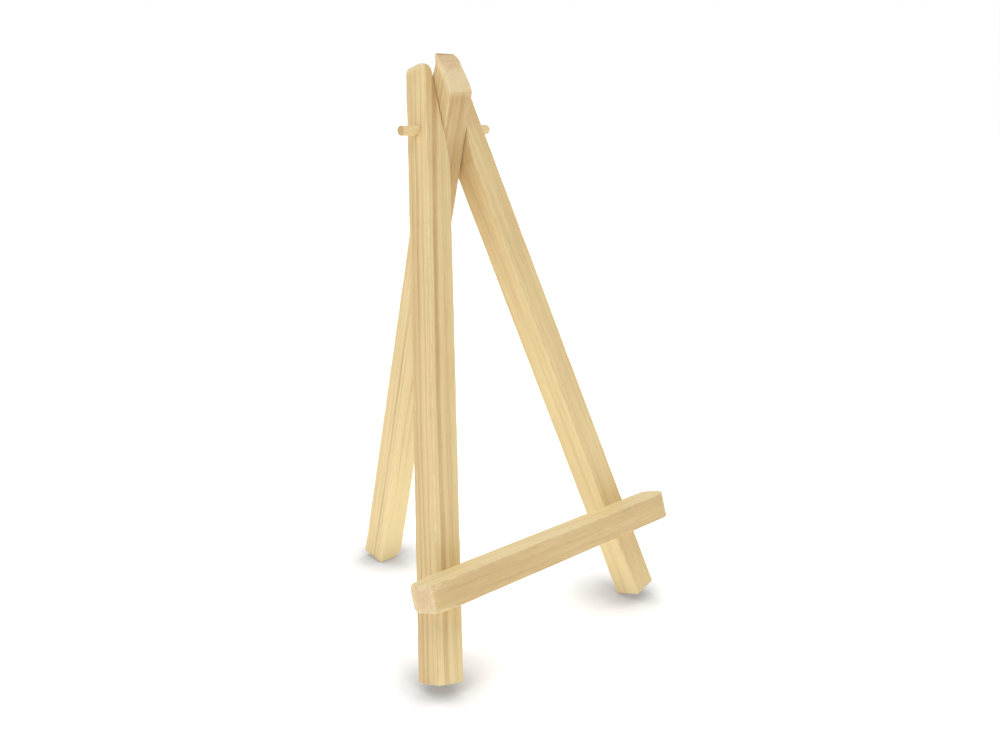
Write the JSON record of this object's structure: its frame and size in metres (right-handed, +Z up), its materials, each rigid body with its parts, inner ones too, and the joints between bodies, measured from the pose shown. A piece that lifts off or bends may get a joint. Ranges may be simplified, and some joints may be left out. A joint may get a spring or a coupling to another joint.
{
  "type": "wooden artist easel",
  "caption": "Small table-top easel of square pine sticks: two splayed front legs with a picture ledge, and a rear leg that folds on a dowel.",
  "frame": {"origin": "centre of the footprint, on the table: middle of the box in X and Y, lowest point in Z", "axes": "+X along the ledge to the right as the picture is looked at, +Y to the back, towards the rear leg's foot, +Z up"},
  "size_m": [0.14, 0.1214, 0.2306],
  "materials": {
    "pine": "bare planed pine, unvarnished, sanded smooth",
    "pine_rear": "bare planed pine, unvarnished, a slightly warmer piece",
    "pine_ledge": "bare planed pine, unvarnished, even grain",
    "dowel_wood": "bare turned hardwood dowel, fine grain",
    "brad_steel": "plain bright steel wire"
  },
  "bodies": {
    "front_frame": {"left_leg": "pine", "right_leg": "pine", "ledge": "pine_ledge", "pivot_dowel": "dowel_wood", "ledge_brads": "brad_steel"},
    "rear_leg": {"rear_leg": "pine_rear"}
  },
  "joints": [
    {"name": "rear_leg_fold", "type": "hinge", "parent": "front_frame", "child": "rear_leg", "pos_m": [0, 0.01713, 0.20077], "axis": [1, 0, 0], "range_deg": [-29.5, 60]}
  ]
}
